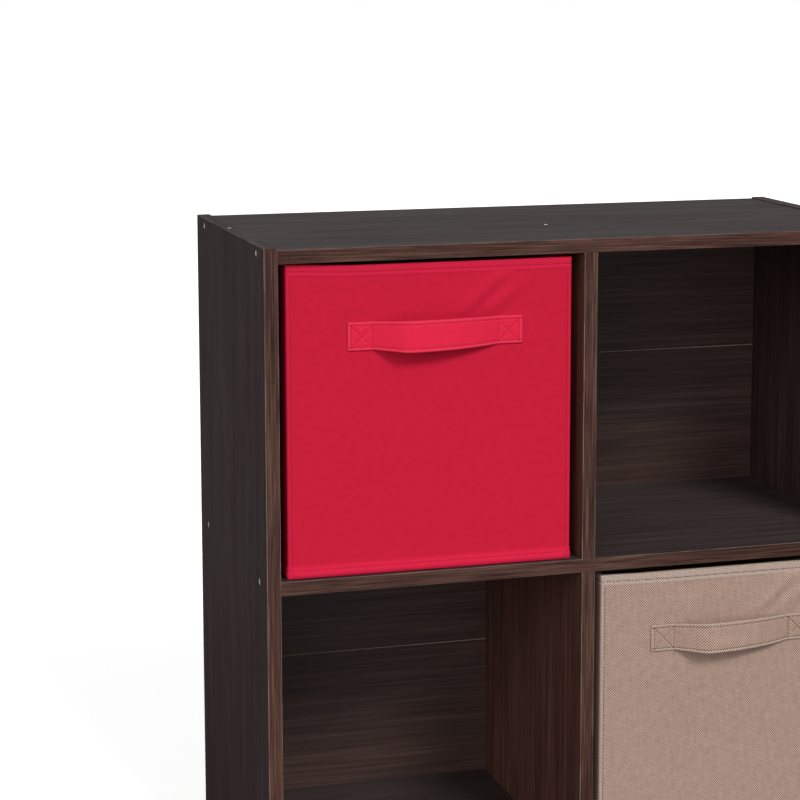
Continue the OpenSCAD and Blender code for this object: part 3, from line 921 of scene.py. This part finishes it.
def set_fold_highlight(piece, values):
    """Writes for each point how much the cloth there takes its lighter fold tone, a painted highlight."""
    piece.data.attributes.new("fold_highlight", "FLOAT", "POINT").data.foreach_set("value", values)


def cover_fold_highlight(cover, drawer):
    """For each point of a cover, how much painted fold highlight it takes on its hem, foot band and corner
    seams.
    """
    outline, values = drawer.outline, []
    for vertex in cover.data.vertices:
        x, y, z = vertex.co
        z -= drawer.rise(vertex.co, z)
        band = smooth_step(z, drawer.rim - (HEM_MM + 0.5) * MM, drawer.rim - (HEM_MM - 0.5) * MM) \
            + smooth_step(-z, -drawer.floor - FOOT_MM * MM, -drawer.floor - (FOOT_MM - 1) * MM)
        seam = max(outline.half[0] - abs(x - outline.centre.x), outline.half[1] - abs(y - outline.centre.y))
        values.append(max(0.7 * band, 0.5 * smooth_step(-seam, -(SEAM_IN_MM + 1) * MM, -SEAM_IN_MM * MM)))
    return values


drawers = [Drawer("red"), Drawer("tan")]
for drawer in drawers:
    cover = ring_mesh(drawer.body + "_sewn_cover", drawer.outline, cover_rows(drawer), drawer.wave,
                      DRAWER_CLOTH[drawer.colour], "tube", drawer.rise)
    set_fold_highlight(cover, cover_fold_highlight(cover, drawer))
    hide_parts(drawer.body + "_cover")
    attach(cover, drawer.body)

# ---------- Drawer bottoms and base boards ----------
# The bottom is one square of the same cloth. A loose board lies on it and keeps the drawer square:
# greyboard wrapped in cloth, with the turned edges glued down underneath.

TURN_IN_MM = 18
CLOTH_MM = 0.5


def crown(side, along, height):
    """The slight unevenness of a wrapped board's edge."""
    return noise.noise(Vector((along / (30 * MM), side * 4.1, 0.5))) * 0.25 * MM


for drawer in drawers:
    cloth = DRAWER_CLOTH[drawer.colour]
    outline = BoxOutline(drawer.body + "_bottom", 2.4, 8)
    low, high = outline.low.z, outline.high.z
    rows = [(-9 * MM, low + 0.12 * MM, 0), (-1.1 * MM, low + 0.12 * MM, 0), (-0.8 * MM, low + 0.4 * MM, 0),
            (-1.1 * MM, high, 0), (-9 * MM, high, 0)]
    bottom = ring_mesh(drawer.body + "_cloth_bottom", outline, rows, crown, cloth, "caps")
    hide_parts(drawer.body + "_bottom")
    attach(bottom, drawer.body)
    outline = BoxOutline(drawer.body + "_base_board", 2.5, 4)
    low, high = outline.low.z, outline.high.z
    middle, half = (low + high) / 2, (high - low) / 2
    rows = [(-(TURN_IN_MM + 0.6) * MM, low + CLOTH_MM * MM, 0), (-TURN_IN_MM * MM, low + 0.1 * MM, 0),
            (-(TURN_IN_MM - 1) * MM, low, 0), (-2 * MM, low, 0)]
    rows += [(half * (math.cos(a) - 1), middle + half * math.sin(a), 1) for a in even(-1.4, 1.4, 0.35)]
    rows += [(-3 * MM, high, 0), (-10 * MM, high, 0)]
    base = ring_mesh(drawer.body + "_wrapped_board", outline, rows, crown, cloth, "caps")
    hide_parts(drawer.body + "_base_board")
    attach(base, drawer.colour + "_base_board")

# ---------- Handles ----------
# A strap of folded cloth, sewn flat to the front at both ends and loose between them, so that it bows out,
# with a crease near its left end. Its long edges are folds, plumper outside their stitch rows.

PATCH_MM = 24.5
EDGE_ROW_MM = 3.0
BOX_ROW_MM = 3.5
BOX_INNER_MM = 1.2
PLUMP_AT_MM = 1.3
ROW_WIDE_MM = 0.9
ROW_DEEP_MM = 0.55
STRAP_HALF_MM = 0.85
BOW_TOP_MM = 14
BOW_FOOT_MM = 17.5
CREASE_SHARE = 0.225
CREASE_SOFT = 0.16
SPREAD_TOP_MM = 0.9
SPREAD_FOOT_MM = 1.6


class Strap:
    """The middle surface of a strap. run goes along it from its left end, and rise up it from its foot."""

    def __init__(self, drawer):
        self.low, self.high, self.front = drawer.strap_low, drawer.strap_high, drawer.outline.low.y
        self.length = self.high.x - self.low.x
        self.width = self.high.z - self.low.z
        self.patch = PATCH_MM * MM

    def rows_near(self, run, rise):
        """How close a spot is to a stitch row: 1 on it."""
        edge = min(rise, self.width - rise)
        wide = ROW_WIDE_MM * MM
        near = bell(edge - EDGE_ROW_MM * MM, wide)
        end = min(run, self.length - run)
        box_low, box_high = BOX_ROW_MM * MM, self.patch - BOX_INNER_MM * MM
        if end < self.patch:
            near = max(near, bell(end - box_low, wide), bell(end - box_high, wide))
            across = (rise - EDGE_ROW_MM * MM) / (self.width - 2 * EDGE_ROW_MM * MM)
            along = (end - box_low) / (box_high - box_low)
            if 0 < along < 1 and 0 < across < 1:
                for cross in (along - across, along + across - 1):
                    near = max(near, bell(cross * self.width * 0.68, wide))
        return near

    def bulge(self, run):
        """How far along its bow a spot is, from 0 at the patches to 1 at the middle."""
        share = (run - self.patch) / (self.length - 2 * self.patch)
        if not 0 < share < 1:
            return 0.0
        rise = share / CREASE_SHARE
        fall = 1 - max((share - CREASE_SHARE) / (1 - CREASE_SHARE), 0.0) ** 2.2
        near = max(CREASE_SOFT - abs(rise - fall), 0.0) / CREASE_SOFT
        return min(rise, fall) - near * near * CREASE_SOFT / 4

    def spot(self, run, rise):
        """A point on the strap's middle surface."""
        bulge, share = self.bulge(run), rise / self.width
        bow = (BOW_FOOT_MM + (BOW_TOP_MM - BOW_FOOT_MM) * share) * MM * bulge
        lean = (share * (SPREAD_TOP_MM + SPREAD_FOOT_MM) - SPREAD_FOOT_MM) * MM * bulge
        away = self.front - (STRAP_HALF_MM + 0.15) * MM - bow
        return Vector((self.low.x + run, away, self.low.z + rise + lean))

    def facing(self, run, rise):
        """The outward direction at a spot."""
        tip = 0.4 * MM
        along = self.spot(run + tip, rise) - self.spot(run - tip, rise)
        up = self.spot(run, rise + tip) - self.spot(run, rise - tip)
        return along.cross(up).normalized()

    def half(self, run, rise):
        """Half the strap's thickness at a spot."""
        edge = min(rise, self.width - rise)
        plump = 0.28 * bell(edge - PLUMP_AT_MM * MM, 1.3 * MM)
        end = min(run, self.length - run)
        plump += 0.18 * bell(end - 1.6 * MM, 1.4 * MM)
        rounding = min(math.sqrt(max(min(edge, end) / (0.9 * MM), 0.0)), 1.0)
        thick = STRAP_HALF_MM + plump - ROW_DEEP_MM * self.rows_near(run, rise)
        return thick * MM * max(rounding, 0.05)

    def face(self, run, rise, lift):
        """A point that stands above the outer face by lift."""
        return self.spot(run, rise) + self.facing(run, rise) * (self.half(run, rise) + lift)


def strap_mesh(name, strap, material):
    """Both faces of the strap as one closed mesh."""
    ends = [0.0, 0.25 * MM, 0.6 * MM]
    runs = ends + even(1.1 * MM, strap.patch + 4 * MM, 0.9 * MM)
    runs += even(strap.patch + 5.2 * MM, strap.length / 2, 1.8 * MM)
    runs += [strap.length - run for run in reversed(runs[:-1])]
    rises = ends + even(1.0 * MM, strap.width / 2, 0.85 * MM)
    rises += [strap.width - rise for rise in reversed(rises[:-1])]
    girth = [(rise, 1) for rise in rises] + [(rise, -1) for rise in reversed(rises)]
    spots = [(run, rise, way) for run in runs for rise, way in girth]
    points, fold_highlight = [], []
    for run, rise, way in spots:
        points.append(strap.spot(run, rise) + strap.facing(run, rise) * (strap.half(run, rise) * way))
        # The plump folded edges take the lighter fold tone, a painted highlight.
        edge = min(rise, strap.width - rise, run, strap.length - run)
        fold_highlight.append(0.5 * bell(edge - PLUMP_AT_MM * MM, 1.2 * MM))
    count = len(girth)
    last = len(spots) - count
    faces = [(a + k, a + count + k, a + count + (k + 1) % count, a + (k + 1) % count)
             for a in range(0, last, count) for k in range(count)]
    for k in range(len(rises) - 1):
        far = count - 1 - k
        faces += [(k, k + 1, far - 1, far), (last + far, last + far - 1, last + k + 1, last + k)]
    maps = [spots[corner][:2] for face in faces for corner in face]
    made = mesh_piece(name, points, faces, maps, material)
    set_fold_highlight(made, fold_highlight)
    return made


straps = {}
for drawer in drawers:
    strap = straps[drawer.body] = Strap(drawer)
    handle = strap_mesh(drawer.body + "_strap", strap, STRAP_CLOTH[drawer.colour])
    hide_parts(drawer.body + "_handle")
    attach(handle, drawer.body)

# ---------- Stitches ----------
# Lockstitch in spun thread: each visible stitch is a short plump dash that dips into the cloth at both
# ends. One tree lays them along the hems, the corner seams, the strap's edges and its crossed boxes.

STITCH_PITCH_MM = 3.3
STITCH_LONG_MM = 3.0
THREAD_MM = 0.9


def stitch_tree():
    """A tree that lays thread dashes along edges."""
    tree, given = laying_tree("thread_dashes", Pitch="Float", Length="Float", Thread="Float")
    rows = value_of(tree, "GeometryNodeMeshToCurve", {"Mesh": given["Geometry"]})
    spacing = {"Curve": rows, "Length": given["Pitch"]}
    spaced = value_of(tree, "GeometryNodeResampleCurve", spacing, mode="LENGTH")
    ball = value_of(tree, "GeometryNodeMeshUVSphere", {"Segments": 6, "Rings": 5, "Radius": 0.5})
    ball = value_of(tree, "GeometryNodeSetShadeSmooth", {"Geometry": ball})
    size = {"X": given["Length"], "Y": given["Thread"], "Z": given["Thread"]}
    dash = value_of(tree, "GeometryNodeTransform", {
        "Geometry": ball, "Scale": value_of(tree, "ShaderNodeCombineXYZ", size),
    })
    tangent = value_of(tree, "GeometryNodeInputTangent")
    along = value_of(tree, "FunctionNodeAlignRotationToVector", {"Vector": tangent}, axis="X")
    lay(tree, given, spaced, dash, along, pivot_axis="X")
    return tree


def cover_stitch_rows(drawer):
    """Stitch rows of a cover: round the hem inside and out, round the foot, and beside each corner."""
    outline, floor, rim = drawer.outline, drawer.floor, drawer.rim
    rows = []
    hem, foot = rim - HEM_STITCH_MM * MM, floor + FOOT_STITCH_MM * MM
    for out, height in ((HEM_OUT_MM - 0.25, hem), (-WALL_MM - 0.1, hem), (0.35, foot)):
        ring = []
        for spot in outline.spots[::3]:
            flat, facing = outline.place(spot, out * MM)
            if height < (floor + rim) / 2:
                flat = flat + facing * drawer.wave(spot[0], spot[1] * outline.reach(spot[0]), height)
            place = Vector((flat.x, flat.y, height + drawer.rise(flat, height)))
            ring.append((place, facing.to_3d() * (1 if out > -1 else -1)))
        rows.append((ring, True))
    for side in range(4):
        reach = outline.reach(side)
        for end in (-1, 1):
            share = end * (reach - SEAM_IN_MM * MM) / (reach - CORNER_MM * MM)
            flat, facing = outline.place((side, share, 0.0), -0.4 * MM)
            heights = (floor + (FOOT_MM + 1) * MM, rim - (HEM_MM + 1) * MM)
            rows.append(([(Vector((flat.x, flat.y, height)), facing.to_3d()) for height in heights], False))
    return rows


def strap_stitch_rows(strap):
    """Stitch rows of a strap: along both edges, and a crossed box at each end."""
    edge, box, sunk = EDGE_ROW_MM * MM, BOX_ROW_MM * MM, -0.02 * MM
    rows = []

    def row(corners):
        spots = []
        for (run_a, rise_a), (run_b, rise_b) in zip(corners, corners[1:]):
            for share in even(0, 1, 0.05)[:-1]:
                run, rise = run_a + (run_b - run_a) * share, rise_a + (rise_b - rise_a) * share
                spots.append((strap.face(run, rise, sunk), strap.facing(run, rise)))
        spots.append((strap.face(*corners[-1], sunk), strap.facing(*corners[-1])))
        rows.append((spots, False))

    for rise in (edge, strap.width - edge):
        row([(strap.length * share, rise) for share in even(0.012, 0.988, 0.122)])
    sewn = strap.patch - BOX_INNER_MM * MM
    for inner, outer in ((sewn, box), (strap.length - sewn, strap.length - box)):
        low, high = edge, strap.width - edge
        for run in (inner, outer):
            row([(run, low), (run, high)])
        row([(inner, low), (outer, high)])
        row([(inner, high), (outer, low)])
    return rows


dash_tree = stitch_tree()
for drawer in drawers:
    points, edges, outward = [], [], []
    for row, ring in cover_stitch_rows(drawer) + strap_stitch_rows(straps[drawer.body]):
        first = len(points)
        points += [point for point, facing in row]
        outward += [facing for point, facing in row]
        edges += [(first + i, first + i + 1) for i in range(len(row) - 1)]
        if ring:
            edges.append((first + len(row) - 1, first))
    thread = laid_out(
        drawer.body + "_stitches", points, edges, outward, dash_tree, Pitch=STITCH_PITCH_MM * MM,
        Length=STITCH_LONG_MM * MM, Thread=THREAD_MM * MM, Material=DRAWER_THREAD[drawer.colour],
    )
    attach(thread, drawer.body)

# ---------- Stiffening boards ----------
# Recycled greyboard, sealed in the pockets of the walls.

walls = ("front", "rear", "left", "right")
greyboard = mottled("greyboard", 1.4, 5.0, (0.35, "#84755f"), (0.65, "#a2917a"), 0.9)
dress([f"{drawer.body}_{wall}_stiffener" for drawer in drawers for wall in walls], greyboard)
